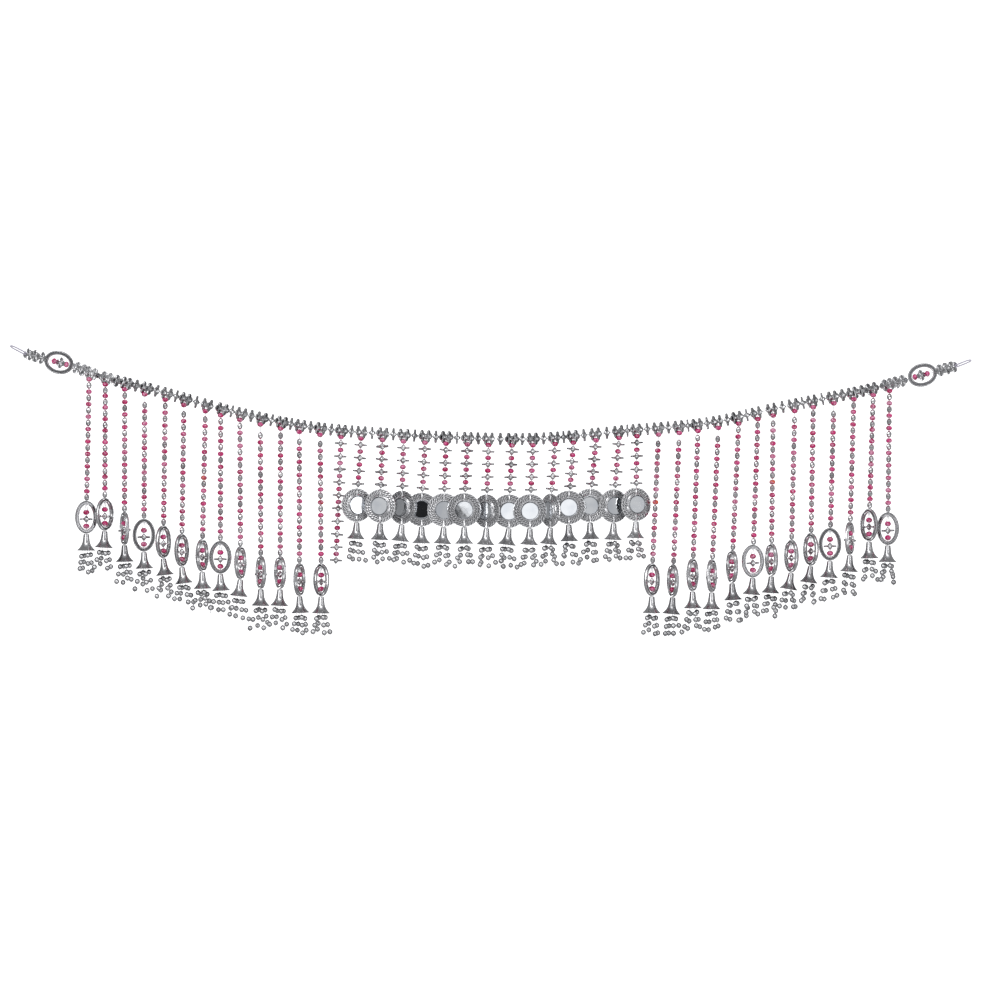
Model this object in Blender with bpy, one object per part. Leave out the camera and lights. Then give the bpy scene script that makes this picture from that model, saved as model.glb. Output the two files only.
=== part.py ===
"""Toran door hanging: a beaded garland with forty-one hanging strings, at real size.

Run it with blender --background --python part.py, or from Blender's text editor.
The hanging is modelled in millimetres and scaled to metres at the end of each piece.
X runs along the doorway, Y from front to back, Z up. The origin lies on the straight
line between the tips of the two hanging loops, over the middle of the garland.
"""

import math
from collections import namedtuple

import bmesh
import bpy
from mathutils import Matrix, Vector

MM = 0.001
CLEAR = 0.3
SHARP_DEG = 35
ACROSS = Vector((1, 0, 0))
BACK = Vector((0, 1, 0))
UP = Vector((0, 0, 1))

# Beads. A strand's corner radius is larger than the bead's, so that its seen width is right.
PINK_RADIUS = 3.1
SILVER_RADIUS = 2.55
NECK_RADIUS = 1.2
THREAD_RADIUS = 0.6
FLOWER_RADIUS = 6.2
GARLAND_NECK_RADIUS = 2.0
SEEN_WIDTH_OF_THREE = math.sin(math.radians(60))

# Garland. Each string hangs between a pair of flower beads.
PAIR_HALF_SPACING = 3.05
SINGLE_IF_STRINGS_APART = 17.0
TOP_PINK_BELOW = 6.4
STUB_TOP_BELOW = 2.3
END_BEADS_OUTSIDE = (8.3, 14.5)

# Wing strings: ten pink beads and ten silver ones, then an oval frame and a bell.
WING_PINKS = 10
NECK_BELOW_PINK = 2.7
SILVER_BELOW_PINK = 6.2
OVAL_BELOW_LAST_PINK = 9.5
OVAL_HALF_WIDTH = 11.4
OVAL_HALF_HEIGHT = 16.4
OVAL_BORDER = 4.0
OVAL_THICKNESS = 2.6
OVAL_SECTIONS = 10
OVAL_BEADS = (("pink", 4.8), ("flower", -2.0), ("pink", -9.0))

# Middle strings: pink and flower beads by turns, then a medallion with a mirror.
MIDDLE_PINKS = 4
FLOWER_BELOW_PINK = 6.4
FLANGE_HALF = 1.3
CORE_RADIUS = 2.7
MEDALLION_BELOW_FLOWER = 4.4
MEDALLION_RADIUS = 16.8
MEDALLION_THICKNESS = 3.2
MEDALLION_SIDES = 12
MIRROR_RADIUS = 8.7
MIRROR_THICKNESS = 1.2
MIRROR_SIDES = 9
PLAIN_PINKS = 10

# Bells and tassels.
BELL_WAIST_RADIUS = 4.0
BELL_WAIST_BELOW = 10.5
BELL_RIM_RADIUS = 8.8
BELL_HEIGHT = 16.8
BELL_NECK_RADIUS = 2.9
BELL_SIDES = 6
STRANDS = 4
STRAND_ROOT_OUT = 3.5
STRAND_ROOT_RADIUS = 0.9
FIRST_BALL_OUT = 4.8
BALL_RADIUS = 2.7
FIRST_BALL_BELOW = 4.8
BALL_PITCH = 7.1
TASSEL_TURN = -20.0  # all turned the same way, so neighbours' strands pass in front of or behind each other
TASSEL_SPLAY = 3.3
TASSEL_SEED = 2
MEDALLION_BELL_NECK_BELOW = 1.4
WING_TASSEL_NUMBERS = 20
MIDDLE_TASSEL_NUMBERS = 50

# End pieces.
END_OVAL_HALF_LENGTH = 14.8
END_OVAL_HALF_HEIGHT = 11.6
END_FLOWERS = 3
END_FLOWER_PITCH = 6.6
END_OVAL_BEADS = ((6.6, PINK_RADIUS), (0.0, 4.9), (-6.6, PINK_RADIUS))
LOOP_WIDTH = 3.6
LOOP_THREAD = 0.9
LOOP_SECTIONS = 10

# The garland's centre line, from the left end frame to the right one.
GARLAND_LINE = (
    (-415.4, -13.9),
    (-388.3, -23.7),
    (-332.6, -38.0),
    (-257.5, -58.6),
    (-177.8, -74.4),
    (-95.8, -81.5),
    (-10.8, -85.6),
    (55.0, -85.6),
    (137.7, -77.9),
    (219.3, -70.2),
    (294.7, -53.8),
    (374.3, -37.9),
    (418.7, -26.4),
)

# One row for each wing string, outermost first. The two wings mirror each other but for
# how far the string's lower end lies to the right of its upper end.
WingString = namedtuple("WingString", "from_axis lean_left lean_right pitch slack oval_turn bell_lean")
WING_STRINGS = (
    WingString(400.2, -3.2, -1.8, 12.44, 0.0, 20, 0.2),
    WingString(384.0, -0.6, -4.8, 11.56, 0.0, 49, -0.9),
    WingString(364.5, -0.4, -4.4, 12.56, 0.0, -66, 0.4),
    WingString(344.5, -1.0, -4.2, 12.25, 4.7, 5, 0.6),
    WingString(324.0, -2.2, -2.8, 12.9, 0.0, 57, 1.9),
    WingString(305.4, -2.4, -3.8, 12.9, 3.1, 60, 2.4),
    WingString(283.9, -3.6, -2.0, 12.9, 2.1, 65, 0.8),
    WingString(268.6, -0.4, -5.6, 12.9, 0.0, -8, 0.8),
    WingString(249.4, 0.6, -7.4, 13.0, 0.0, 67, -1.8),
    WingString(229.0, 0.6, -7.2, 13.0, 5.0, -65, -0.4),
    WingString(208.7, -0.6, -6.0, 13.0, 1.0, -61, -0.8),
    WingString(190.0, 0.2, -7.2, 13.1, 3.9, 67, 0.8),
    WingString(169.2, 1.2, -7.4, 12.9, 3.1, -48, -0.4),
)

# One row for each middle string, from left to right. Forward is how far in front of the
# garland the medallion hangs, and turn how far its right side swings back: neighbours
# overlap like tiles.
MiddleString = namedtuple("MiddleString", "x lean pitch forward turn bell_lean")
MIDDLE_STRINGS = (
    MiddleString(-128.3, -4.2, 13.0, 0.0, 26, -1.0),
    MiddleString(-106.8, -2.0, 12.8, 7.4, -22, -0.8),
    MiddleString(-85.8, -1.6, 12.8, 0.0, -36, -1.8),
    MiddleString(-64.3, -3.4, 13.1, -3.4, 0, -0.4),
    MiddleString(-43.3, -2.2, 12.9, 0.0, 8, -1.2),
    MiddleString(-21.8, -3.3, 12.6, 5.2, 0, 0.0),
    MiddleString(-0.8, -2.0, 12.8, 0.0, -38, -1.0),
    MiddleString(22.7, -3.0, 12.7, -2.0, 0, -2.2),
    MiddleString(43.7, -3.0, 12.7, 3.4, 0, -1.0),
    MiddleString(65.7, -4.6, 12.9, 0.0, -55, -1.8),
    MiddleString(84.1, -4.6, 12.4, -3.0, 0, 0.4),
    MiddleString(106.7, -5.8, 12.5, -7.5, -10, 0.6),
    MiddleString(129.7, -5.3, 13.5, 0.0, 28, -0.8),
    MiddleString(147.7, -1.0, 13.5, 0.0, 26, -0.6),
)
PLAIN_STRING = MiddleString(-148.3, -5.4, 13.0, -6.2, 0, 0)

# One row for each end: where the frame's centre lies, its slope towards the middle, where
# the loop's tip lies.
GarlandEnd = namedtuple("GarlandEnd", "name centre_x centre_z slope_deg tip_x tip_z side")
GARLAND_ENDS = (
    GarlandEnd("left", -430.4, -9.7, 15.0, -479.3, 7.2, -1),
    GarlandEnd("right", 433.2, -22.2, 15.0, 482.3, -7.2, 1),
)

# Slot name, colour, metallic, roughness, alpha.
PLATED = ("silver_plated_plastic", (0.70, 0.70, 0.72), 1.0, 0.22, 1.0)
MIRROR = ("mirror_glass", (0.90, 0.92, 0.94), 1.0, 0.03, 1.0)
THREAD = ("clear_nylon", (0.86, 0.84, 0.90), 0.0, 0.25, 0.6)


def clear_scene():
    for old in list(bpy.data.objects):
        bpy.data.objects.remove(old, do_unlink=True)


def material_for(slot):
    name, colour, metallic, roughness, alpha = slot
    material = bpy.data.materials.get(name) or bpy.data.materials.new(name)
    material.use_nodes = True
    shader = material.node_tree.nodes["Principled BSDF"]
    shader.inputs["Base Color"].default_value = (*colour, 1)
    shader.inputs["Metallic"].default_value = metallic
    shader.inputs["Roughness"].default_value = roughness
    shader.inputs["Alpha"].default_value = alpha
    return material


def uneven(*numbers):
    """A fixed value from -1 to 1 that differs from piece to piece."""
    mixed = sum(number * weight for number, weight in zip(numbers, (12.9898, 78.233, 37.719)))
    return 2 * ((math.sin(mixed) * 43758.5453) % 1) - 1


class Skin:
    """A closed skin, grown ring by ring, in millimetres."""

    def __init__(self):
        self.mesh = bmesh.new()

    def corners(self, points):
        return [self.mesh.verts.new(point) for point in points]

    def ring(self, centre, radius, sides, first=ACROSS, second=BACK, turn_deg=0.0):
        """A regular ring of corners round a centre, in the plane of two directions."""
        points = []
        for step in range(sides):
            angle = math.radians(turn_deg + 360 * step / sides)
            points.append(centre + radius * (math.cos(angle) * first + math.sin(angle) * second))
        return self.corners(points)

    def cap(self, ring):
        self.mesh.faces.new(ring)

    def join(self, start, end):
        """Skins the band between two rings, whose corner counts may differ."""
        start_middle = middle_of(start)
        end_middle = middle_of(end)
        axis = (end_middle - start_middle).normalized()
        side = axis.orthogonal().normalized()
        other = axis.cross(side)
        first = by_angle(start, start_middle, side, other)
        second = by_angle(end, end_middle, side, other)
        nearest = min(range(len(second)), key=lambda k: abs(turn_between(first[0][0], second[k][0])))
        second = second[nearest:] + [(angle + math.tau, corner) for angle, corner in second[:nearest]]
        first = first + [(first[0][0] + math.tau, first[0][1])]
        second = second + [(second[0][0] + math.tau, second[0][1])]
        if second[0][0] - first[0][0] > math.pi:
            second = [(angle - math.tau, corner) for angle, corner in second]
        if first[0][0] - second[0][0] > math.pi:
            second = [(angle + math.tau, corner) for angle, corner in second]
        here = 0
        there = 0
        while here < len(first) - 1 or there < len(second) - 1:
            if there == len(second) - 1:
                step_first = True
            elif here == len(first) - 1:
                step_first = False
            else:
                half_first = first[here][0] + first[here + 1][0]
                half_second = second[there][0] + second[there + 1][0]
                step_first = half_first <= half_second
            if step_first:
                self.mesh.faces.new((first[here][1], first[here + 1][1], second[there][1]))
                here += 1
            else:
                self.mesh.faces.new((first[here][1], second[there + 1][1], second[there][1]))
                there += 1

    def finish(self, name, slot):
        """Turns the skin into an object in metres, with its faces outwards."""
        bmesh.ops.recalc_face_normals(self.mesh, faces=self.mesh.faces)
        bmesh.ops.scale(self.mesh, vec=(MM, MM, MM), verts=self.mesh.verts)
        data = bpy.data.meshes.new(name)
        self.mesh.to_mesh(data)
        self.mesh.free()
        data.materials.append(material_for(slot))
        data.shade_smooth()
        data.set_sharp_from_angle(angle=math.radians(SHARP_DEG))
        piece = bpy.data.objects.new(name, data)
        bpy.context.scene.collection.objects.link(piece)


def middle_of(ring):
    return sum((corner.co for corner in ring), Vector()) / len(ring)


def by_angle(ring, middle, side, other):
    """The ring's corners with their angles round its middle, in rising order."""
    placed = []
    for corner in ring:
        away = corner.co - middle
        placed.append((math.atan2(away.dot(other), away.dot(side)), corner))
    return sorted(placed, key=lambda pair: pair[0])


def turn_between(one, two):
    """The smallest turn from one angle to another."""
    return (two - one + math.pi) % math.tau - math.pi


def garland_height(x):
    """Height of the garland's centre line at x: a smooth curve through its points."""
    last = len(GARLAND_LINE) - 1
    index = 0
    while index < last - 1 and x > GARLAND_LINE[index + 1][0]:
        index += 1
    slopes = []
    for near in (index, index + 1):
        before = GARLAND_LINE[max(near - 1, 0)]
        after = GARLAND_LINE[min(near + 1, last)]
        slopes.append((after[1] - before[1]) / (after[0] - before[0]))
    (x0, z0), (x1, z1) = GARLAND_LINE[index], GARLAND_LINE[index + 1]
    span = x1 - x0
    t = (x - x0) / span
    return (
        (2 * t**3 - 3 * t**2 + 1) * z0
        + (t**3 - 2 * t**2 + t) * span * slopes[0]
        + (3 * t**2 - 2 * t**3) * z1
        + (t**3 - t**2) * span * slopes[1]
    )


def garland_frame(x):
    """The garland at x: its point, its direction, and the direction down from it."""
    step = 2.0
    rise = garland_height(x + step) - garland_height(x - step)
    along = Vector((2 * step, 0, rise)).normalized()
    down = Vector((along.z, 0, -along.x))
    return Vector((x, 0, garland_height(x))), along, down


def carrier_x(string_x):
    """Where the garland carries a string, so that its top bead hangs at string_x."""
    down = garland_frame(string_x)[2]
    return string_x - TOP_PINK_BELOW * down.x


def wing_tops():
    """(side, number, row, x) of every wing string, from left to right."""
    left = [(-1, k + 1, row, -row.from_axis) for k, row in enumerate(WING_STRINGS)]
    right = [(1, k + 1, row, row.from_axis) for k, row in enumerate(WING_STRINGS)]
    return left + right[::-1]


def garland_beads():
    """(x, in_a_pair) of each flower bead on the garland, from left to right."""
    tops = [top[3] for top in wing_tops()]
    tops += [row.x for row in MIDDLE_STRINGS] + [PLAIN_STRING.x]
    carriers = sorted(carrier_x(x) for x in tops)
    beads = [(carriers[0] - out, False) for out in END_BEADS_OUTSIDE]
    beads += [(carriers[-1] + out, False) for out in END_BEADS_OUTSIDE]
    for index, x in enumerate(carriers):
        along = garland_frame(x)[1]
        beads += [(x - PAIR_HALF_SPACING * along.x, True), (x + PAIR_HALF_SPACING * along.x, True)]
        if index + 1 < len(carriers) and carriers[index + 1] - x > SINGLE_IF_STRINGS_APART:
            beads.append(((x + carriers[index + 1]) / 2, False))
    return sorted(beads)


def build_garland():
    """One skin: a four-sided flange for each flower bead, and a neck between each two."""
    skin = Skin()
    beads = garland_beads()
    start_x = GARLAND_LINE[0][0] + CLEAR
    end_x = GARLAND_LINE[-1][0] - CLEAR

    def section(x, radius, turn_deg):
        point, along, down = garland_frame(x)
        return skin.ring(point, radius, 4, BACK, down, turn_deg)

    before = section(start_x, GARLAND_NECK_RADIUS, 45)
    skin.cap(before)
    for index, (x, in_a_pair) in enumerate(beads):
        flange = section(x, FLOWER_RADIUS, 45 if in_a_pair else 0)
        neck_x = (x + beads[index + 1][0]) / 2 if index + 1 < len(beads) else end_x
        neck = section(neck_x, GARLAND_NECK_RADIUS, 45)
        skin.join(before, flange)
        skin.join(flange, neck)
        before = neck
    skin.cap(before)
    skin.finish("garland", PLATED)


def string_top(skin, string_x, sides):
    """The thread's stub under the garland. Returns its ring and the top pink's centre."""
    point, along, down = garland_frame(carrier_x(string_x))
    front_turn = 30 if sides == 3 else 0
    stub = skin.ring(point + STUB_TOP_BELOW * down, THREAD_RADIUS, sides, along, BACK, front_turn)
    skin.cap(stub)
    return stub, point + TOP_PINK_BELOW * down


def oval_frame(skin, centre, turn_deg, half_width, half_height, long_axis, round_axis):
    """An oval ring of four-cornered sections. Returns its four open faces, from the outer
    one at the positive end of its long axis to the outer one at the other, and its side axis."""
    side_axis = (Matrix.Rotation(math.radians(turn_deg), 3, long_axis) @ round_axis).normalized()
    thick_axis = long_axis.cross(side_axis)
    flat_share = math.cos(math.pi / OVAL_SECTIONS)
    sections = []
    for index in range(OVAL_SECTIONS):
        angle = math.tau * (index + 0.5) / OVAL_SECTIONS
        points = []
        for inset, back in ((0, -1), (0, 1), (OVAL_BORDER, 1), (OVAL_BORDER, -1)):
            along = (half_height - inset) / flat_share * math.cos(angle)
            aside = (half_width - inset) * math.sin(angle)
            in_plane = centre + along * long_axis + aside * side_axis
            points.append(in_plane + back * OVAL_THICKNESS / 2 * thick_axis)
        sections.append(skin.corners(points))
    openings = {}
    bottom = OVAL_SECTIONS // 2 - 1
    for index in range(OVAL_SECTIONS):
        one = sections[index]
        two = sections[(index + 1) % OVAL_SECTIONS]
        for corner in range(4):
            after = (corner + 1) % 4
            face = (one[corner], one[after], two[after], two[corner])
            if index in (OVAL_SECTIONS - 1, bottom) and corner in (0, 2):
                openings[(index, corner)] = face
            else:
                skin.mesh.faces.new(face)
    top = OVAL_SECTIONS - 1
    return openings[(top, 0)], openings[(top, 2)], openings[(bottom, 2)], openings[(bottom, 0)], side_axis


def bell_and_tassel(skin, open_face, lean, number, neck_below=0.0):
    """A flared bell below an open face, and the strands of its tassel."""
    top = middle_of(open_face)
    before = open_face

    def centre(below):
        return top + Vector((lean * below / BELL_HEIGHT, 0, -below))

    if neck_below:
        neck = skin.ring(centre(neck_below), BELL_NECK_RADIUS, BELL_SIDES)
        skin.join(before, neck)
        before = neck
    waist = skin.ring(centre(BELL_WAIST_BELOW), BELL_WAIST_RADIUS, BELL_SIDES)
    rim = skin.ring(centre(BELL_HEIGHT), BELL_RIM_RADIUS, BELL_SIDES)
    skin.join(before, waist)
    skin.join(waist, rim)
    roots = []
    edges = [skin.mesh.edges.get((rim[k - 1], rim[k])) for k in range(BELL_SIDES)]
    whole_turn = TASSEL_TURN + 6 * uneven(number, TASSEL_SEED)
    for strand in range(STRANDS):
        direction = 360 * (strand + 0.5) / STRANDS + whole_turn
        out = Matrix.Rotation(math.radians(direction), 3, UP) @ ACROSS
        root_centre = centre(BELL_HEIGHT) + STRAND_ROOT_OUT * out
        root = skin.ring(root_centre, STRAND_ROOT_RADIUS, 3, turn_deg=direction)
        edges += [skin.mesh.edges.new((root[k - 1], root[k])) for k in range(3)]
        roots.append((root, out, direction))
    bmesh.ops.triangle_fill(skin.mesh, edges=edges, use_beauty=True, normal=(0, 0, -1))
    for strand, (root, out, direction) in enumerate(roots):
        before = root
        first_below = FIRST_BALL_BELOW + 1.3 * uneven(number, strand, TASSEL_SEED + 1)
        pitch = BALL_PITCH + 1.6 * uneven(number, strand, TASSEL_SEED + 2)
        splay = TASSEL_SPLAY * (0.15 + 0.85 * abs(uneven(number, strand, TASSEL_SEED + 3)))
        for ball in range(3):
            below = first_below + pitch * ball
            away = FIRST_BALL_OUT + splay * ball
            ball_centre = centre(BELL_HEIGHT) + away * out - below * UP
            ball_ring = skin.ring(ball_centre, BALL_RADIUS, 3, turn_deg=direction + 60 * (ball + 1))
            skin.join(before, ball_ring)
            before = ball_ring
        skin.cap(before)


def build_wing_string(side, number, row, string_x):
    """Ten pink and ten silver beads, an oval frame with its own beads, a bell, a tassel."""
    skin = Skin()
    before, pink_centre = string_top(skin, string_x, 3)
    lean = row.lean_left if side < 0 else row.lean_right
    drop_length = (WING_PINKS - 1) * row.pitch + row.slack + OVAL_BELOW_LAST_PINK + 2 * OVAL_HALF_HEIGHT

    def centre(below):
        return pink_centre + Vector((lean * below / drop_length, 0, -below))

    corner_share = 1 / SEEN_WIDTH_OF_THREE
    for index in range(WING_PINKS):
        below = index * row.pitch + (row.slack if index else 0)
        silver_below = below + (SILVER_BELOW_PINK if index else SILVER_BELOW_PINK + row.slack)
        steps = (
            (below, PINK_RADIUS * corner_share),
            (below + NECK_BELOW_PINK, NECK_RADIUS),
            (silver_below, SILVER_RADIUS * corner_share),
        )
        for depth, radius in steps:
            ring = skin.ring(centre(depth), radius, 3, turn_deg=30)
            skin.join(before, ring)
            before = ring
    oval_top = (WING_PINKS - 1) * row.pitch + row.slack + OVAL_BELOW_LAST_PINK
    oval_centre = centre(oval_top + OVAL_HALF_HEIGHT)
    top, inner_top, inner_bottom, bottom, side_axis = oval_frame(
        skin, oval_centre, -side * row.oval_turn, OVAL_HALF_WIDTH, OVAL_HALF_HEIGHT, UP, ACROSS
    )
    skin.join(before, top)
    inner_string(skin, inner_top, inner_bottom, oval_centre, UP, side_axis)
    bell_lean = lean * BELL_HEIGHT / drop_length - side * row.bell_lean
    bell_and_tassel(skin, bottom, bell_lean, WING_TASSEL_NUMBERS * side + number)
    side_name = "left" if side < 0 else "right"
    skin.finish(f"wing_string_{side_name}_{number:02d}", PLATED)


def inner_string(skin, start_face, end_face, centre, long_axis, side_axis):
    """The beads inside an oval frame: pink, flower, pink."""
    thick_axis = long_axis.cross(side_axis)
    before = start_face
    for bead, offset in OVAL_BEADS:
        radius = PINK_RADIUS if bead == "pink" else FLOWER_RADIUS - 2 * CLEAR
        ring = skin.ring(centre + offset * long_axis, radius, 4, side_axis, thick_axis)
        skin.join(before, ring)
        before = ring
    skin.join(before, end_face)


def middle_chain(skin, row, pinks, below_last_flower):
    """Pink and flower beads by turns. Returns the last neck's ring and the line's function."""
    before, pink_centre = string_top(skin, row.x, 4)
    length = (pinks - 1) * row.pitch + FLOWER_BELOW_PINK + below_last_flower
    forward_length = (MIDDLE_PINKS - 0.5) * row.pitch

    def centre(below):
        forward = row.forward * min(1.0, max(0.0, below / forward_length))
        return pink_centre + Vector((row.lean * below / length, -forward, -below))

    steps = [(0, PINK_RADIUS)]
    for index in range(pinks):
        flower = index * row.pitch + FLOWER_BELOW_PINK
        steps += [(flower - FLANGE_HALF, CORE_RADIUS), (flower, FLOWER_RADIUS)]
        steps += [(flower + FLANGE_HALF, CORE_RADIUS)]
    for depth, radius in steps:
        ring = skin.ring(centre(depth), radius, 4)
        skin.join(before, ring)
        before = ring
    return before, centre


def turned_disc(skin, centre, turn_deg, radius, sides, front, back):
    """Front and back rings of a flat disc that faces forward, with flats at top and bottom."""
    side_axis = Matrix.Rotation(math.radians(turn_deg), 3, UP) @ ACROSS
    forward = side_axis.cross(UP)
    corner_radius = radius / math.cos(math.pi / sides)
    first_turn = 90 + 180 / sides
    front_ring = skin.ring(centre + front * forward, corner_radius, sides, side_axis, UP, first_turn)
    back_ring = skin.ring(centre + back * forward, corner_radius, sides, side_axis, UP, first_turn)
    skin.cap(front_ring)
    skin.cap(back_ring)
    return front_ring, back_ring


def build_middle_string(number, row):
    """Four pink and four flower beads, a medallion, a bell with its tassel, and a mirror."""
    skin = Skin()
    disc_below_flower = MEDALLION_BELOW_FLOWER + MEDALLION_RADIUS
    before, centre = middle_chain(skin, row, MIDDLE_PINKS, disc_below_flower)
    disc_centre = centre((MIDDLE_PINKS - 1) * row.pitch + FLOWER_BELOW_PINK + disc_below_flower)
    half = MEDALLION_THICKNESS / 2
    front, back = turned_disc(skin, disc_centre, row.turn, MEDALLION_RADIUS, MEDALLION_SIDES, half, -half)
    for k in range(MEDALLION_SIDES):
        side_face = (front[k - 1], front[k], back[k], back[k - 1])
        if k == 0:
            skin.join(before, side_face)
        elif k == MEDALLION_SIDES // 2:
            tassel = MIDDLE_TASSEL_NUMBERS + number
            bell_and_tassel(skin, side_face, row.bell_lean, tassel, MEDALLION_BELL_NECK_BELOW)
        else:
            skin.mesh.faces.new(side_face)
    skin.finish(f"mirror_string_{number:02d}", PLATED)

    glass = Skin()
    seat = half + CLEAR
    face = seat + MIRROR_THICKNESS
    front, back = turned_disc(glass, disc_centre, row.turn, MIRROR_RADIUS, MIRROR_SIDES, face, seat)
    for k in range(MIRROR_SIDES):
        glass.mesh.faces.new((front[k - 1], front[k], back[k], back[k - 1]))
    glass.finish(f"mirror_{number:02d}", MIRROR)


def build_plain_string():
    """The one long string of pink and flower beads that ends in a flower bead."""
    skin = Skin()
    before, centre = middle_chain(skin, PLAIN_STRING, PLAIN_PINKS, FLANGE_HALF)
    skin.cap(before)
    skin.finish("plain_string", PLATED)


def build_end(end):
    """An end frame with its beads and the flower beads outside it, and the hanging loop."""
    skin = Skin()
    slope = math.radians(end.slope_deg)
    outwards = Vector((end.side * math.cos(slope), 0, math.sin(slope)))
    upwards = BACK.cross(outwards) * -end.side
    centre = Vector((end.centre_x, 0, end.centre_z))
    outer, inner_out, inner_in, inward, side_axis = oval_frame(
        skin, centre, 0, END_OVAL_HALF_HEIGHT, END_OVAL_HALF_LENGTH, outwards, upwards
    )
    skin.mesh.faces.new(inward)
    thick_axis = outwards.cross(side_axis)
    before = inner_out
    for offset, radius in END_OVAL_BEADS:
        ring = skin.ring(centre + offset * outwards, radius, 4, side_axis, thick_axis)
        skin.join(before, ring)
        before = ring
    skin.join(before, inner_in)
    before = outer
    first = END_OVAL_HALF_LENGTH + END_FLOWER_PITCH / 2
    for index in range(END_FLOWERS):
        flower_out = first + index * END_FLOWER_PITCH
        turn_deg = 45 * (index % 2)
        neck_out = flower_out + END_FLOWER_PITCH / 2
        for out, radius in ((flower_out, FLOWER_RADIUS), (neck_out, GARLAND_NECK_RADIUS)):
            ring = skin.ring(centre + out * outwards, radius, 4, side_axis, thick_axis, turn_deg)
            skin.join(before, ring)
            before = ring
    skin.cap(before)
    skin.finish(f"end_frame_{end.name}", PLATED)
    build_loop(end, centre + (first + END_FLOWERS * END_FLOWER_PITCH - END_FLOWER_PITCH / 2) * outwards)


def build_loop(end, seat):
    """A narrow loop of clear thread, from the last flower bead to its tip."""
    skin = Skin()
    tip = Vector((end.tip_x, 0, end.tip_z))
    outwards = (tip - seat).normalized()
    aside = BACK.cross(outwards)
    half_thread = LOOP_THREAD / 2
    start = seat + CLEAR * outwards
    half_length = (tip - start).length / 2 - half_thread
    centre = (start + tip) / 2
    sections = []
    for index in range(LOOP_SECTIONS):
        angle = math.tau * index / LOOP_SECTIONS
        radial = math.cos(angle) * outwards + math.sin(angle) * aside
        point = centre + half_length * math.cos(angle) * outwards
        point += (LOOP_WIDTH / 2 - half_thread) * math.sin(angle) * aside
        sections.append(skin.ring(point, half_thread, 4, radial, BACK))
    for index in range(LOOP_SECTIONS):
        one = sections[index - 1]
        two = sections[index]
        for corner in range(4):
            skin.mesh.faces.new((one[corner - 1], one[corner], two[corner], two[corner - 1]))
    skin.finish(f"hanging_loop_{end.name}", THREAD)


def main():
    clear_scene()
    build_garland()
    for end in GARLAND_ENDS:
        build_end(end)
    for side, number, row, string_x in wing_tops():
        build_wing_string(side, number, row, string_x)
    for number, row in enumerate(MIDDLE_STRINGS, 1):
        build_middle_string(number, row)
    build_plain_string()


main()
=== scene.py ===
"""Looks of the toran door hanging: plated beads, pink beads, filigree mirrors, bells and tassels.

Lengths are in millimetres until a piece is finished, which turns them to metres. X runs along
the doorway, Y from front to back, Z up, as in the frame.
"""

import math
from collections import namedtuple

import bmesh
import bpy
from mathutils import Euler, Matrix, Vector


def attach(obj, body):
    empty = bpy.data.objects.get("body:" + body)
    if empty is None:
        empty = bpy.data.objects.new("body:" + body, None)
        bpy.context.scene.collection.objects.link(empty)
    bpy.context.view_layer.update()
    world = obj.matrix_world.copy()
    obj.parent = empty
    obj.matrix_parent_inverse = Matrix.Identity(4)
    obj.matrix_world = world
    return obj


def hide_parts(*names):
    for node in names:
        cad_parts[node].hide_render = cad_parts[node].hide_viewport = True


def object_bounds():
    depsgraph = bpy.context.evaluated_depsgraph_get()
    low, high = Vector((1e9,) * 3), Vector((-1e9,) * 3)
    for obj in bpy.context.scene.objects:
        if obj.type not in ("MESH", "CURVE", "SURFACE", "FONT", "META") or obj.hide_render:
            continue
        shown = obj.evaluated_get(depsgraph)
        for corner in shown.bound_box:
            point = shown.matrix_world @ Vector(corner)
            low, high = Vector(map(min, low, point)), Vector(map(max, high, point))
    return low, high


MM = 0.001
ACROSS = Vector((1, 0, 0))
BACK = Vector((0, 1, 0))
UP = Vector((0, 0, 1))

# Beads
PINK_RADIUS = 3.15
PINK_HALF_HEIGHT = 2.3
SILVER_RADIUS = 2.65
SILVER_HALF_HEIGHT = 3.4
CORE_RADIUS = 2.35
CORE_HALF_HEIGHT = 3.3
PETAL_TIP = 6.3
PETAL_HALF_WIDTH = 3.1
PETAL_HALF_THICKNESS = 1.0
BALL_RADIUS = 2.65
STRING_THREAD = 0.34
TASSEL_THREAD = 0.24
LOOP_THREAD = 0.7
LOOP_WIDTH = 3.6
LOOP_FLATNESS = 0.45

# Garland
PAIR_HALF_SPACING = 3.05
SINGLE_IF_STRINGS_APART = 17.0
TOP_PINK_BELOW = 6.4
END_BEADS_OUTSIDE = (8.3, 14.5)
PAIR_SPLAY_DEG = 3.0
PAIR_YAW_DEG = 30.0
SINGLE_YAW_DEG = 12.0
END_YAW_DEG = 62.0

# Strings
WING_PINKS = 10
ORANGE_STRINGS = (7, 13)
ORANGE_BEAD = 5
SILVER_BELOW_PINK = 6.2
OVAL_BELOW_LAST_PINK = 9.5
OVAL_HALF_WIDTH = 11.4
OVAL_HALF_HEIGHT = 16.4
OVAL_BORDER = 4.0
OVAL_HALF_THICKNESS = 1.9
OVAL_ROPE_TURNS = 62
OVAL_PINKS = (4.8, -9.0)
OVAL_FLOWER = -2.0
MIDDLE_PINKS = 4
PLAIN_PINKS = 10
FLOWER_BELOW_PINK = 6.4
FLANGE_HALF = 1.3

# Medallions
MEDALLION_BELOW_FLOWER = 4.4
MEDALLION_RADIUS = 16.8
MEDALLION_HALF_THICKNESS = 1.4
MIRROR_RADIUS = 8.7
MIRROR_THICKNESS = 1.2
MIRROR_SEAT = 1.9
RIM_CELLS = 28
CELL_SLANT_DEG = 11.0
RIM_OUTER_RING = 16.15
RIM_MIDDLE_RING = 13.45
RIM_INNER_RING = 10.6
BACKING_RADII = (10.0, 15.9)
BACKING_DEPTHS = (0.2, 0.7)
BACK_PLATE_RADIUS = 9.9
TAB_RADIUS = 1.45

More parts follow.
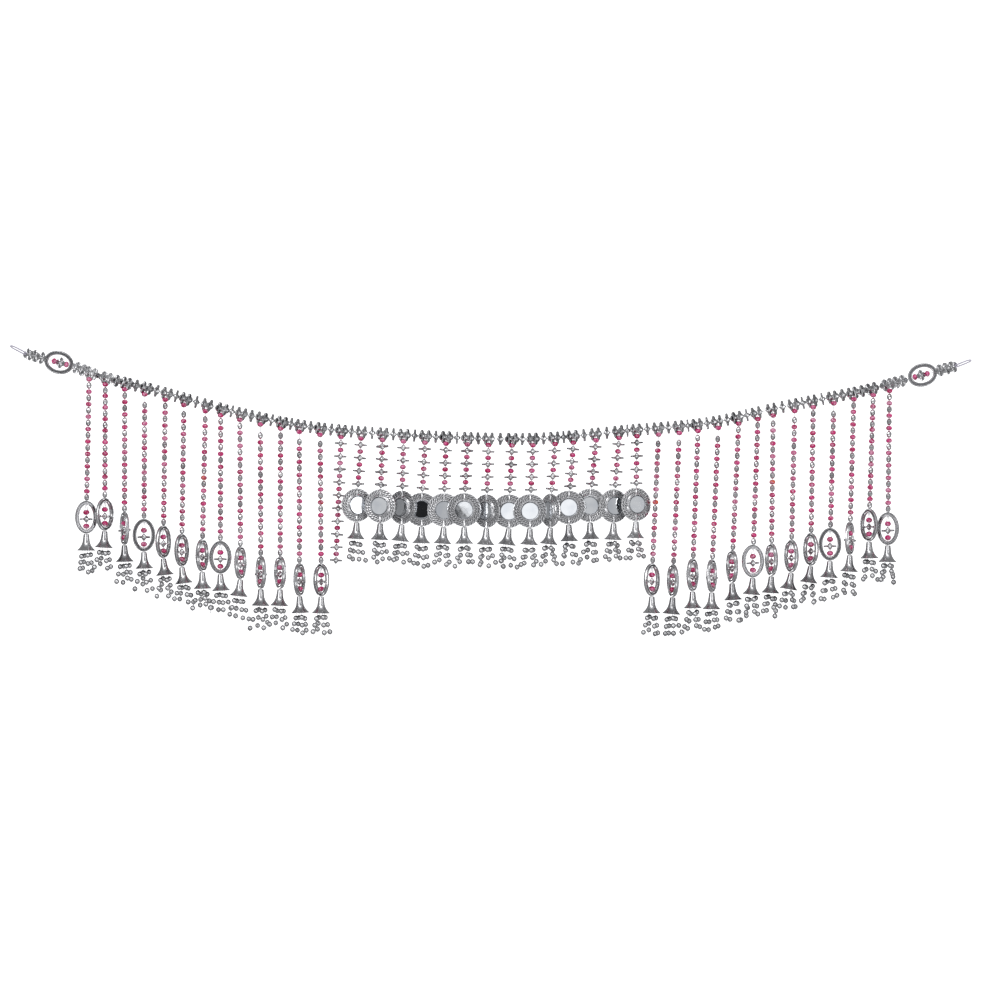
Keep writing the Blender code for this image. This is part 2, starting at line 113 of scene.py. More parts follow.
# Bells and tassels
BELL_HEIGHT = 16.8
STRANDS = 4
BALLS = 3
FIRST_BALL_OUT = 4.8
FIRST_BALL_BELOW = 4.8
BALL_PITCH = 7.1
TASSEL_TURN = -20.0
TASSEL_SPLAY = 3.3
TASSEL_SEED = 2
WING_TASSEL_NUMBERS = 20
MIDDLE_TASSEL_NUMBERS = 50
TAIL = 3.2

# Ends
END_OVAL_HALF_LENGTH = 14.8
END_OVAL_HALF_HEIGHT = 11.6
END_FLOWERS = 3
END_FLOWER_PITCH = 6.6
END_PINK_OUT = 6.4
END_BEADS_INWARDS = 1.4

GARLAND_LINE = (
    (-415.4, -13.9),
    (-388.3, -23.7),
    (-332.6, -38.0),
    (-257.5, -58.6),
    (-177.8, -74.4),
    (-95.8, -81.5),
    (-10.8, -85.6),
    (55.0, -85.6),
    (137.7, -77.9),
    (219.3, -70.2),
    (294.7, -53.8),
    (374.3, -37.9),
    (418.7, -26.4),
)

WingString = namedtuple("WingString", "from_axis lean_left lean_right pitch slack oval_turn bell_lean")
WING_STRINGS = (
    WingString(400.2, -3.2, -1.8, 12.44, 0.0, 20, 0.2),
    WingString(384.0, -0.6, -4.8, 11.56, 0.0, 49, -0.9),
    WingString(364.5, -0.4, -4.4, 12.56, 0.0, -66, 0.4),
    WingString(344.5, -1.0, -4.2, 12.25, 4.7, 5, 0.6),
    WingString(324.0, -2.2, -2.8, 12.9, 0.0, 57, 1.9),
    WingString(305.4, -2.4, -3.8, 12.9, 3.1, 60, 2.4),
    WingString(283.9, -3.6, -2.0, 12.9, 2.1, 65, 0.8),
    WingString(268.6, -0.4, -5.6, 12.9, 0.0, -8, 0.8),
    WingString(249.4, 0.6, -7.4, 13.0, 0.0, 67, -1.8),
    WingString(229.0, 0.6, -7.2, 13.0, 5.0, -65, -0.4),
    WingString(208.7, -0.6, -6.0, 13.0, 1.0, -61, -0.8),
    WingString(190.0, 0.2, -7.2, 13.1, 3.9, 67, 0.8),
    WingString(169.2, 1.2, -7.4, 12.9, 3.1, -48, -0.4),
)

# Mirror tilt is how far the glued mirror looks to the right, and mirror nod how far it looks up.
MiddleString = namedtuple("MiddleString", "x lean pitch forward turn bell_lean mirror_tilt mirror_nod")
MIDDLE_STRINGS = (
    MiddleString(-128.3, -4.2, 13.0, 0.0, 26, -1.0, 4.0, 0),
    MiddleString(-106.8, -2.0, 12.8, 7.4, -22, -0.8, 0, 0),
    MiddleString(-85.8, -1.6, 12.8, 0.0, -36, -1.8, 0, 0),
    MiddleString(-64.3, -3.4, 13.1, -3.4, 0, -0.4, -3.5, 0),
    MiddleString(-43.3, -2.2, 12.9, 0.0, 8, -1.2, 0, 0),
    MiddleString(-21.8, -3.3, 12.6, 5.2, 0, 0.0, 4.2, 0),
    MiddleString(-0.8, -2.0, 12.8, 0.0, -38, -1.0, 0, 0),
    MiddleString(22.7, -3.0, 12.7, -2.0, 0, -2.2, 3.9, 1.8),
    MiddleString(43.7, -3.0, 12.7, 3.4, 0, -1.0, 3.8, 3.0),
    MiddleString(65.7, -4.6, 12.9, 0.0, -55, -1.8, 0, 0),
    MiddleString(84.1, -4.6, 12.4, -3.0, 0, 0.4, 3.5, 1.8),
    MiddleString(106.7, -5.8, 12.5, -7.5, -10, 0.6, 0, 0),
    MiddleString(129.7, -5.3, 13.5, 0.0, 28, -0.8, -6.0, 0),
    MiddleString(147.7, -1.0, 13.5, 0.0, 26, -0.6, -1.0, 0),
)
PLAIN_STRING = MiddleString(-148.3, -5.4, 13.0, -6.2, 0, 0, 0, 0)

GarlandEnd = namedtuple("GarlandEnd", "name centre_x centre_z slope_deg tip_x tip_z side")
GARLAND_ENDS = (
    GarlandEnd("left", -430.4, -9.7, 15.0, -479.3, 7.2, -1),
    GarlandEnd("right", 433.2, -22.2, 15.0, 482.3, -7.2, 1),
)

# Painted shade: the grey that the grooves, slots and rope notches of the plated pieces are darkened towards.
GROOVE_PAINTED_SHADE = (0.27, 0.27, 0.28)
# Painted shade on the mirror's ground edge, where it sits inside the bezel.
MIRROR_EDGE_PAINTED_SHADE = (0.35, 0.37, 0.40)

# Camera: the middle of the picture, its width at the garland, and its distance.
VIEW_CENTRE = (0.0107, -0.1472)
VIEW_WIDTH = 1.0
VIEW_DISTANCE = 4.0
SENSOR = 36.0
FLOOR_BELOW = 0.9
SURROUND_RADIUS = 8.0
ROOM_LIGHT = 0.48


def uneven(*numbers):
    """A fixed value from -1 to 1 that differs from piece to piece."""
    mixed = sum(number * weight for number, weight in zip(numbers, (12.9898, 78.233, 37.719)))
    return 2 * ((math.sin(mixed) * 43758.5453) % 1) - 1


def rotated(vector, degrees, axis):
    return Matrix.Rotation(math.radians(degrees), 3, axis) @ vector


# Shader nodes


def shader_for(name, colour, metallic, roughness):
    """A material and its Principled shader, with the numbers that are the same all over."""
    material = bpy.data.materials.new(name)
    material.use_nodes = True
    shader = material.node_tree.nodes["Principled BSDF"]
    shader.inputs["Base Color"].default_value = (*colour, 1)
    shader.inputs["Metallic"].default_value = metallic
    shader.inputs["Roughness"].default_value = roughness
    return material, shader


def noise_at(tree, scale, detail=2.0):
    """Noise over the object's own coordinates, in features per metre."""
    place = tree.nodes.new("ShaderNodeTexCoord")
    noise = tree.nodes.new("ShaderNodeTexNoise")
    noise.inputs["Scale"].default_value = scale
    noise.inputs["Detail"].default_value = detail
    tree.links.new(place.outputs["Object"], noise.inputs["Vector"])
    return noise.outputs["Fac"]


def ramp_of(tree, value, stops):
    ramp = tree.nodes.new("ShaderNodeValToRGB")
    elements = ramp.color_ramp.elements
    while len(elements) < len(stops):
        elements.new(0.5)
    for element, (place, colour) in zip(elements, stops):
        element.position = place
        element.color = (*colour, 1)
    tree.links.new(value, ramp.inputs["Fac"])
    return ramp.outputs["Color"]


def mapped(tree, value, low, high):
    """A value from 0 to 1, spread between two numbers."""
    spread = tree.nodes.new("ShaderNodeMapRange")
    spread.inputs["To Min"].default_value = low
    spread.inputs["To Max"].default_value = high
    tree.links.new(value, spread.inputs["Value"])
    return spread.outputs["Result"]


def attribute_of(tree, name):
    attribute = tree.nodes.new("ShaderNodeAttribute")
    attribute.attribute_name = name
    return attribute.outputs["Fac"]


def bump_from(tree, shader, height, strength, distance):
    bump = tree.nodes.new("ShaderNodeBump")
    bump.inputs["Strength"].default_value = strength
    bump.inputs["Distance"].default_value = distance
    tree.links.new(height, bump.inputs["Height"])
    tree.links.new(bump.outputs["Normal"], shader.inputs["Normal"])


def darkened(tree, colour, amount, dark):
    mix = tree.nodes.new("ShaderNodeMix")
    mix.data_type = "RGBA"
    mix.inputs["B"].default_value = (*dark, 1)
    tree.links.new(amount, mix.inputs["Factor"])
    tree.links.new(colour, mix.inputs["A"])
    return mix.outputs["Result"]


def silver_plating(name, bright, dull, roughest, dents=0.12):
    """Bright vacuum plating on moulded plastic: each bead a little different, with painted shade in the
    grooves.
    """
    material, shader = shader_for(name, bright, 1.0, 0.15)
    tree = material.node_tree
    plated = ramp_of(tree, attribute_of(tree, "tint"), ((0.0, dull), (0.55, bright), (1.0, bright)))
    worn = darkened(tree, plated, mapped(tree, noise_at(tree, 260), 0.0, 0.35), dull)
    # Painted shade: the groove attribute darkens recesses towards a fixed grey.
    groove_shaded = darkened(tree, worn, attribute_of(tree, "groove"), GROOVE_PAINTED_SHADE)
    tree.links.new(groove_shaded, shader.inputs["Base Color"])
    tree.links.new(mapped(tree, noise_at(tree, 700, 4), 0.05, roughest), shader.inputs["Roughness"])
    bump_from(tree, shader, noise_at(tree, 1100, 3), dents, 0.0002)
    return material


def pink_acrylic():
    """Clear hot-pink acrylic, some beads paler, a few orange-red, with painted shade and painted highlights
    in patches inside each bead.
    """
    material, shader = shader_for("pink_acrylic", (0.9, 0.02, 0.25), 0.0, 0.06)
    tree = material.node_tree
    stops = (
        (0.0, (0.85, 0.0, 0.18)),
        (0.45, (1.0, 0.06, 0.34)),
        (0.8, (1.0, 0.26, 0.52)),
        (0.9, (1.0, 0.45, 0.66)),
        (1.0, (1.0, 0.14, 0.04)),
    )
    dyed = ramp_of(tree, attribute_of(tree, "tint"), stops)
    # Painted shade and painted light: noise patches make each bead darker crimson in places and pale pink in
    # others, standing in for light through the clear acrylic.
    deep = ramp_of(tree, noise_at(tree, 330, 1), ((0.42, (0.85,) * 3), (0.56, (0.0,) * 3)))
    painted_dark_patches = darkened(tree, dyed, deep, (0.50, 0.0, 0.10))
    light = ramp_of(tree, noise_at(tree, 410, 1), ((0.50, (0.0,) * 3), (0.62, (0.8,) * 3)))
    painted_light_patches = darkened(tree, painted_dark_patches, light, (1.0, 0.45, 0.66))
    tree.links.new(painted_light_patches, shader.inputs["Base Color"])
    tree.links.new(mapped(tree, noise_at(tree, 900), 0.03, 0.12), shader.inputs["Roughness"])
    bump_from(tree, shader, noise_at(tree, 500), 0.1, 0.0003)
    shader.inputs["Transmission Weight"].default_value = 0.3
    shader.inputs["IOR"].default_value = 1.49
    shader.inputs["Coat Weight"].default_value = 0.6
    shader.inputs["Coat Roughness"].default_value = 0.03
    return material


def silvered_glass():
    """Small cut mirror: clean in the middle, with painted shade on its ground edge where it sits in the
    bezel.
    """
    material, shader = shader_for("silvered_glass", (0.9, 0.92, 0.95), 1.0, 0.02)
    tree = material.node_tree
    clear = ramp_of(tree, noise_at(tree, 90, 5), ((0.35, (0.82, 0.85, 0.89)), (0.6, (0.93, 0.95, 0.97))))
    edge_shaded = darkened(tree, clear, attribute_of(tree, "groove"), MIRROR_EDGE_PAINTED_SHADE)
    tree.links.new(edge_shaded, shader.inputs["Base Color"])
    tree.links.new(mapped(tree, noise_at(tree, 300, 6), 0.0, 0.06), shader.inputs["Roughness"])
    bump_from(tree, shader, noise_at(tree, 60), 0.02, 0.0005)
    return material


def clear_nylon(name, colour, alpha):
    """Monofilament: clear, glossy, with faint stretch marks along it."""
    material, shader = shader_for(name, colour, 0.0, 0.18)
    tree = material.node_tree
    stretched = ramp_of(tree, noise_at(tree, 350, 3), ((0.3, colour), (0.7, tuple(c * 0.8 for c in colour))))
    tree.links.new(stretched, shader.inputs["Base Color"])
    bump_from(tree, shader, noise_at(tree, 1500), 0.1, 0.0002)
    shader.inputs["Alpha"].default_value = alpha
    shader.inputs["Specular IOR Level"].default_value = 0.7
    return material


# Geometry Nodes


def start_tree(name, sockets):
    """A Geometry Nodes tree with named inputs, each with its kind and first value."""
    tree = bpy.data.node_groups.new(name, "GeometryNodeTree")
    tree.interface.new_socket("Geometry", in_out="INPUT", socket_type="NodeSocketGeometry")
    for label, kind, value in sockets:
        socket = tree.interface.new_socket(label, in_out="INPUT", socket_type=f"NodeSocket{kind}")
        if value is not None:
            socket.default_value = value
    tree.interface.new_socket("Geometry", in_out="OUTPUT", socket_type="NodeSocketGeometry")
    return tree, tree.nodes.new("NodeGroupInput"), tree.nodes.new("NodeGroupOutput")


def named_value(tree, name, kind):
    node = tree.nodes.new("GeometryNodeInputNamedAttribute")
    node.data_type = kind
    node.inputs["Name"].default_value = name
    return node.outputs["Attribute"]


def end_tree(tree, inputs, outputs, geometry):
    """Every tree ends in Realize Instances and Set Material."""
    realize = tree.nodes.new("GeometryNodeRealizeInstances")
    finish = tree.nodes.new("GeometryNodeSetMaterial")
    tree.links.new(geometry, realize.inputs["Geometry"])
    tree.links.new(realize.outputs["Geometry"], finish.inputs["Geometry"])
    tree.links.new(inputs.outputs["Finish"], finish.inputs["Material"])
    tree.links.new(finish.outputs["Geometry"], outputs.inputs["Geometry"])


def threading_tree():
    """Sets a copy of one bead on each point, turned and sized by the point's own values."""
    sockets = (
        ("Bead", "Object", None),
        ("Finish", "Material", None),
        ("Wobble", "Vector", (0.0, 0.0, 0.0)),
        ("Seed", "Int", 1),
    )
    tree, inputs, outputs = start_tree("threading", sockets)
    link = tree.links.new
    bead = tree.nodes.new("GeometryNodeObjectInfo")
    link(inputs.outputs["Bead"], bead.inputs["Object"])
    turn = tree.nodes.new("FunctionNodeEulerToRotation")
    link(named_value(tree, "turn", "FLOAT_VECTOR"), turn.inputs["Euler"])
    place = tree.nodes.new("GeometryNodeInstanceOnPoints")
    link(inputs.outputs["Geometry"], place.inputs["Points"])
    link(bead.outputs["Geometry"], place.inputs["Instance"])
    link(turn.outputs["Rotation"], place.inputs["Rotation"])
    link(named_value(tree, "size", "FLOAT_VECTOR"), place.inputs["Scale"])
    least = tree.nodes.new("ShaderNodeVectorMath")
    least.operation = "SCALE"
    least.inputs["Scale"].default_value = -1.0
    link(inputs.outputs["Wobble"], least.inputs[0])
    chance = tree.nodes.new("FunctionNodeRandomValue")
    chance.data_type = "FLOAT_VECTOR"
    link(least.outputs["Vector"], chance.inputs["Min"])
    link(inputs.outputs["Wobble"], chance.inputs["Max"])
    link(inputs.outputs["Seed"], chance.inputs["Seed"])
    lean = tree.nodes.new("FunctionNodeEulerToRotation")
    link(chance.outputs["Value"], lean.inputs["Euler"])
    wobble = tree.nodes.new("GeometryNodeRotateInstances")
    wobble.inputs["Local Space"].default_value = True
    link(place.outputs["Instances"], wobble.inputs["Instances"])
    link(lean.outputs["Rotation"], wobble.inputs["Rotation"])
    end_tree(tree, inputs, outputs, wobble.outputs["Instances"])
    return tree


def thread_tree():
    """Turns lines into round thread."""
    sockets = (("Thread radius", "Float", 0.3), ("Sides", "Int", 6), ("Finish", "Material", None))
    tree, inputs, outputs = start_tree("thread", sockets)
    link = tree.links.new
    line = tree.nodes.new("GeometryNodeMeshToCurve")
    link(inputs.outputs["Geometry"], line.inputs["Mesh"])
    section = tree.nodes.new("GeometryNodeCurvePrimitiveCircle")
    link(inputs.outputs["Thread radius"], section.inputs["Radius"])
    link(inputs.outputs["Sides"], section.inputs["Resolution"])
    sweep = tree.nodes.new("GeometryNodeCurveToMesh")
    sweep.inputs["Fill Caps"].default_value = True
    link(line.outputs["Curve"], sweep.inputs["Curve"])
    link(section.outputs["Curve"], sweep.inputs["Profile Curve"])
    end_tree(tree, inputs, outputs, sweep.outputs["Mesh"])
    return tree


def pierced_rim_tree():
    """Sets slanted bars round a medallion's rings, and leaves out those behind its two tabs."""
    sockets = (
        ("Bars", "Object", None),
        ("Cells", "Int", RIM_CELLS),
        ("Finish", "Material", None),
    )
    tree, inputs, outputs = start_tree("pierced_rim", sockets)
    link = tree.links.new
    bars = tree.nodes.new("GeometryNodeObjectInfo")
    link(inputs.outputs["Bars"], bars.inputs["Object"])
    points = tree.nodes.new("GeometryNodePoints")
    link(inputs.outputs["Cells"], points.inputs["Count"])
    index = tree.nodes.new("GeometryNodeInputIndex")
    share = tree.nodes.new("ShaderNodeMath")
    share.operation = "DIVIDE"
    link(index.outputs["Index"], share.inputs[0])
    link(inputs.outputs["Cells"], share.inputs[1])
    angle = tree.nodes.new("ShaderNodeMath")
    angle.operation = "MULTIPLY"
    angle.inputs[1].default_value = math.tau
    link(share.outputs["Value"], angle.inputs[0])
    euler = tree.nodes.new("ShaderNodeCombineXYZ")
    link(angle.outputs["Value"], euler.inputs["Y"])
    turn = tree.nodes.new("FunctionNodeEulerToRotation")
    link(euler.outputs["Vector"], turn.inputs["Euler"])
    twice = tree.nodes.new("ShaderNodeMath")
    twice.operation = "MULTIPLY"
    twice.inputs[1].default_value = 2.0
    link(share.outputs["Value"], twice.inputs[0])
    halves = tree.nodes.new("ShaderNodeMath")
    halves.operation = "FRACT"
    link(twice.outputs["Value"], halves.inputs[0])
    off_tab = tree.nodes.new("FunctionNodeCompare")
    off_tab.operation = "GREATER_THAN"
    off_tab.inputs["B"].default_value = 0.001
    link(halves.outputs["Value"], off_tab.inputs["A"])
    place = tree.nodes.new("GeometryNodeInstanceOnPoints")
    link(points.outputs["Points"], place.inputs["Points"])
    link(off_tab.outputs["Result"], place.inputs["Selection"])
    link(bars.outputs["Geometry"], place.inputs["Instance"])
    link(turn.outputs["Rotation"], place.inputs["Rotation"])
    both = tree.nodes.new("GeometryNodeJoinGeometry")
    link(inputs.outputs["Geometry"], both.inputs["Geometry"])
    link(place.outputs["Instances"], both.inputs["Geometry"])
    end_tree(tree, inputs, outputs, both.outputs["Geometry"])
    return tree


def grown(piece, tree, values):
    """Runs a tree on an object and leaves it as a plain mesh."""
    modifier = piece.modifiers.new(tree.name, "NODES")
    modifier.node_group = tree
    for item in tree.interface.items_tree:
        if item.in_out == "INPUT" and item.name in values:
            modifier[item.identifier] = values[item.name]
    graph = bpy.context.evaluated_depsgraph_get()
    plain = bpy.data.meshes.new_from_object(piece.evaluated_get(graph), depsgraph=graph)
    piece.modifiers.clear()
    piece.data = plain
    plain.name = piece.name
    return piece


# Meshes of one bead each


def object_of(name, mesh):
    piece = bpy.data.objects.new(name, mesh)
    bpy.context.scene.collection.objects.link(piece)
    return piece


def shape_from(name, shape, smooth_below_deg):
    """A bmesh as an object, smooth where its faces meet below the given angle."""
    bmesh.ops.recalc_face_normals(shape, faces=shape.faces)
    mesh = bpy.data.meshes.new(name)
    shape.to_mesh(mesh)
    shape.free()
    if smooth_below_deg:
        mesh.shade_smooth()
        mesh.set_sharp_from_angle(angle=math.radians(smooth_below_deg))
    else:
        mesh.shade_flat()
    return object_of(name, mesh)


def groove_layer(shape):
    return shape.verts.layers.float.get("groove") or shape.verts.layers.float.new("groove")


def swept(shape, sections, closed=False):
    """Skins between sections of equal count. An open sweep gets its two ends filled."""
    rings = [[shape.verts.new(point) for point in section] for section in sections]
    count = len(rings[0])
    pairs = list(zip(rings, rings[1:]))
    if closed:
        pairs.append((rings[-1], rings[0]))
    for one, two in pairs:
        for k in range(count):
            shape.faces.new((one[k - 1], one[k], two[k], two[k - 1]))
    if not closed:
        shape.faces.new(rings[0])
        shape.faces.new(rings[-1])
    return rings


def turned(shape, profile, sides, half_steps=False):
    """A profile of (radius, height) turned round Z."""
    sections = []
    for row, (radius, height) in enumerate(profile):
        shift = 0.5 * (row % 2) if half_steps else 0.0
        ring = []
        for step in range(sides):
            angle = math.tau * (step + shift) / sides
            ring.append(Vector((radius * math.cos(angle), radius * math.sin(angle), height)))
        sections.append(ring)
    return swept(shape, sections)


def pink_bead():
    """A rondelle with a dimple at each end of its hole."""
    shape = bmesh.new()
    steps = 6
    profile = []
    for step in range(steps + 1):
        angle = math.radians(62) * (2 * step / steps - 1)
        out = PINK_RADIUS * (0.35 + 0.65 * math.cos(angle * 90 / 62 * 0.9))
        profile.append((out, PINK_HALF_HEIGHT * math.sin(angle) / math.sin(math.radians(62))))
    dimple = PINK_HALF_HEIGHT - 0.35
    turned(shape, [(0.5, -dimple), *profile, (0.5, dimple)], 12)
    return shape_from("pink_bead_shape", shape, 60)


def faceted(shape, radius, half_height, sides):
    profile = (
        (radius * 0.30, -half_height),
        (radius * 0.80, -half_height * 0.66),
        (radius * 1.02, -half_height * 0.16),
        (radius * 1.02, half_height * 0.16),
        (radius * 0.80, half_height * 0.66),
        (radius * 0.30, half_height),
    )
    return turned(shape, profile, sides, half_steps=True)


def silver_bead():
    """A long bead cut with two rows of facets."""
    shape = bmesh.new()
    faceted(shape, SILVER_RADIUS, SILVER_HALF_HEIGHT, 8)
    return shape_from("silver_bead_shape", shape, 0)


def flower_bead():
    """A faceted core with four leaf petals that have a raised rim."""
    shape = bmesh.new()
    groove = groove_layer(shape)
    faceted(shape, CORE_RADIUS, CORE_HALF_HEIGHT, 6)
    rows = (
        (0.20, 0.45),
        (0.42, 0.85),
        (0.64, 1.00),
        (0.85, 0.76),
        (1.00, 0.16),
    )
    # The third number of each corner across a petal is painted shade, in the hollow between the petal's
    # raised rims.
    across = ((-1.0, 0.45, 0.0), (-0.66, 1.0, 0.0), (0.0, 0.5, 0.7), (0.66, 1.0, 0.0), (1.0, 0.45, 0.0))
    for petal in range(4):
        sections = []
        for out, width in rows:
            section = []
            for face in (1, -1):
                for aside, high, _ in across[::face]:
                    point = Vector((
                        PETAL_TIP * out,
                        PETAL_HALF_WIDTH * width * aside,
                        face * PETAL_HALF_THICKNESS * high * (1.15 - 0.35 * out),
                    ))
                    section.append(rotated(point, 90 * petal, UP))
            sections.append(section)
        for ring in swept(shape, sections)[1:-1]:
            for corner, (_, _, dark) in zip(ring, across + across[::-1]):
                corner[groove] = dark
    return shape_from("flower_bead_shape", shape, 35)


def ball():
    """A plated ball with a small flat at its hole."""
    shape = bmesh.new()
    rows = 7
    profile = []
    for row in range(rows + 1):
        angle = math.radians(10 + 160 * row / rows)
        profile.append((BALL_RADIUS * math.sin(angle), -BALL_RADIUS * math.cos(angle)))
    turned(shape, profile, 12)
    return shape_from("ball_shape", shape, 50)


def bell():
    """A thin flared cap, open below, with its top at the origin."""
    shape = bmesh.new()
    outside = (
        (0.7, -0.3),
        (2.2, -0.35),
        (2.75, -0.8),
        (2.95, -2.2),
        (3.3, -5.4),
        (3.75, -8.6),
        (4.6, -11.0),
        (5.8, -13.1),
        (7.4, -15.0),
        (8.8, -16.3),
        (9.1, -16.7),
    )
    wall = 0.45
    inside = [(radius - wall, height + wall * 0.6) for radius, height in outside[:2:-1]]
    turned(shape, (*outside, (9.0, -17.0), *inside, (0.7, -1.2)), 24)
    return shape_from("bell_shape", shape, 40)


def oval_section(half_width, half_height, angle, ridge):
    """The frame's section at an angle: an outer and an inner roped ridge with a groove between."""
    # Each step is (inset, height, painted shade); the shade is 1 in the groove between the two ridges.
    steps = (
        (0.0, 0.35, 0.0),
        (0.45, 1.0 * ridge, 0.0),
        (1.15, 1.0 * ridge, 0.0),
        (1.6, 0.45, 1.0),
        (2.5, 0.45, 1.0),
        (2.9, 0.95 * ridge, 0.0),
        (3.55, 0.95 * ridge, 0.0),
        (OVAL_BORDER, 0.35, 0.0),
    )
    section = []
    for face in (-1, 1):
        for inset, high, _ in steps[::-face]:
            along = (half_height - inset) * math.cos(angle)
            aside = (half_width - inset) * math.sin(angle)
            section.append(Vector((aside, face * OVAL_HALF_THICKNESS * high, along)))
    darks = [step[2] for step in steps]
    return section, darks + darks[::-1]


def oval_frame(name, half_width, half_height):
    """An oval ring with two roped edges, its long way along Z and its face to the front."""
    shape = bmesh.new()
    groove = groove_layer(shape)
    sections = []
    shades = []
    turns = OVAL_ROPE_TURNS * 2
    for step in range(turns):
        # Every other turn is a notch of the rope, lower and painted with shade.
        ridge, notch = (1.0, 0.0) if step % 2 else (0.7, 0.45)
        section, darks = oval_section(half_width, half_height, math.tau * step / turns, ridge)
        darks = [max(dark, notch) for dark in darks]
        sections.append(section)
        shades.append(darks)
    for ring, darks in zip(swept(shape, sections, closed=True), shades):
        for corner, dark in zip(ring, darks):
            corner[groove] = dark
    return shape_from(name, shape, 25)


def ring_round(shape, radius, out_half, front_half, turns, points, scallop=0.0, front=0.0):
    """A ring of oval section round Y."""
    sections = []
    for step in range(turns):
        angle = math.tau * step / turns
        middle = radius + scallop * math.cos(angle * RIM_CELLS)
        section = []
        for corner in range(points):
            way = math.tau * corner / points
            out = middle + out_half * math.cos(way)
            depth = front + front_half * math.sin(way)
            section.append(Vector((out * math.sin(angle), depth, out * math.cos(angle))))
        sections.append(section)
    swept(shape, sections, closed=True)


def rim_bars():
    """One cell's two slanted bars, at the top of the rim."""
    shape = bmesh.new()
    for inner, outer in ((10.9, 13.5), (13.3, 16.1)):
        sections = []
        for step, swell in ((0.0, 0.75), (0.5, 1.0), (1.0, 0.75)):
            radius = inner + (outer - inner) * step
            angle = math.radians(CELL_SLANT_DEG * (step - 0.5))
            section = []
            for corner in range(6):
                way = math.tau * corner / 6
                aside = 0.08 * radius * swell * math.cos(way)
                depth = MEDALLION_HALF_THICKNESS * 0.8 * swell * math.sin(way)
                point = Vector((aside, depth, radius))
                section.append(rotated(point, math.degrees(angle), BACK))
            sections.append(section)
        swept(shape, sections)
    return shape_from("rim_bars_shape", shape, 50)


def medallion(silver):
    """Filigree rim on a backing painted dark as the shade between its bars, smooth inner ring, bezel and
    plate, with a tab at top and bottom.
    """
    shape = bmesh.new()
    groove = groove_layer(shape)
    sections = []
    inner, outer = BACKING_RADII
    near, far = BACKING_DEPTHS
    for depth, radius in ((near, inner), (near, outer), (far, outer), (far, inner)):
        ring = []
        for step in range(56):
            angle = math.tau * step / 56
            ring.append(Vector((radius * math.sin(angle), depth, radius * math.cos(angle))))
        sections.append(ring)
    # The backing is painted shade: its groove value of 1 makes it dark grey behind the bars.
    for ring in swept(shape, sections, closed=True):
        for corner in ring:
            corner[groove] = 1.0
    ring_round(shape, RIM_OUTER_RING, 0.65, 0.9, 112, 6, scallop=0.2)
    ring_round(shape, RIM_MIDDLE_RING, 0.42, 1.0, 56, 6)
    ring_round(shape, RIM_INNER_RING, 0.85, MEDALLION_HALF_THICKNESS, 56, 8)
    ring_round(shape, MIRROR_RADIUS + 0.55, 0.5, 1.9, 56, 8, front=-1.5)
    sections = []
    for depth in (MEDALLION_HALF_THICKNESS * 0.9, -MIRROR_SEAT + 0.25):
        ring = []
        for step in range(48):
            angle = math.tau * step / 48
            across, up = (BACK_PLATE_RADIUS * part for part in (math.sin(angle), math.cos(angle)))
            ring.append(Vector((across, depth, up)))
        sections.append(ring)
    swept(shape, sections)
    for side in (1, -1):
        sections = []
        for height in (9.8, 10.4, 16.6, 17.0):
            width = 1.0 if 10 < height < 17 else 0.7
            ring = []
            for corner in range(8):
                way = math.tau * corner / 8
                aside, deep = (TAB_RADIUS * width * part for part in (math.cos(way), math.sin(way)))
                ring.append(Vector((aside, deep, side * height)))
            sections.append(ring)
        swept(shape, sections)
    rings = shape_from("medallion_shape", shape, 40)
    bars = rim_bars()
    grown(rings, pierced_rim_tree(), {"Bars": bars, "Finish": silver})
    bpy.data.objects.remove(bars)
    return rings


def mirror_disc():
    """A cut mirror with a ground edge, its face to the front and its back at the origin."""
    shape = bmesh.new()
    groove = groove_layer(shape)
    steps = (
        (MIRROR_RADIUS, 0.0),
        (MIRROR_RADIUS, MIRROR_THICKNESS - 0.3),
        (MIRROR_RADIUS - 0.3, MIRROR_THICKNESS),
        (MIRROR_RADIUS - 0.8, MIRROR_THICKNESS),
    )
    sections = []
    for radius, forward in steps:
        ring = []
        for step in range(40):
            angle = math.tau * step / 40
            ring.append(Vector((radius * math.cos(angle), -forward, radius * math.sin(angle))))
        sections.append(ring)
    rings = swept(shape, sections)
    # Painted shade: the edge rings are marked to darken where the mirror sits in its bezel.
    for ring in rings[:3]:
        for corner in ring:
            corner[groove] = 0.8
    return shape_from("mirror_shape", shape, 20)


# Places of the beads


class Places:
    """Points with a turn, a size and a tint for each bead of one kind."""

    def __init__(self):
        self.rows = []

    def add(self, point, along=UP, side=ACROSS, turn_deg=0.0, size=1.0, tint=0.5):
        """along is the bead's Z, and side is near its X before it turns round Z."""
        up = along.normalized()
        across = (side - side.dot(up) * up).normalized()
        across = rotated(across, turn_deg, up)
        axes = Matrix((across, up.cross(across), up)).transposed()
        self.rows.append((point, axes.to_euler(), Vector((size, size, size)), tint))

    def threaded(self, name, bead, finish, wobble=(0, 0, 0), seed=1):
        """Every bead of this kind as one plain mesh."""
        mesh = bpy.data.meshes.new(name)
        mesh.from_pydata([row[0] for row in self.rows], [], [])
        for label, kind, column in (("turn", "FLOAT_VECTOR", 1), ("size", "FLOAT_VECTOR", 2)):
            layer = mesh.attributes.new(label, kind, "POINT")
            for point, row in zip(layer.data, self.rows):
                point.vector = row[column]
        tints = mesh.attributes.new("tint", "FLOAT", "POINT")
        for point, row in zip(tints.data, self.rows):
            point.value = row[3]
        piece = object_of(name, mesh)
        values = {
            "Bead": bead,
            "Finish": finish,
            "Wobble": tuple(math.radians(angle) for angle in wobble),
            "Seed": seed,
        }
        grown(piece, TREES["threading"], values)
        bpy.data.objects.remove(bead)
        return in_metres(piece)


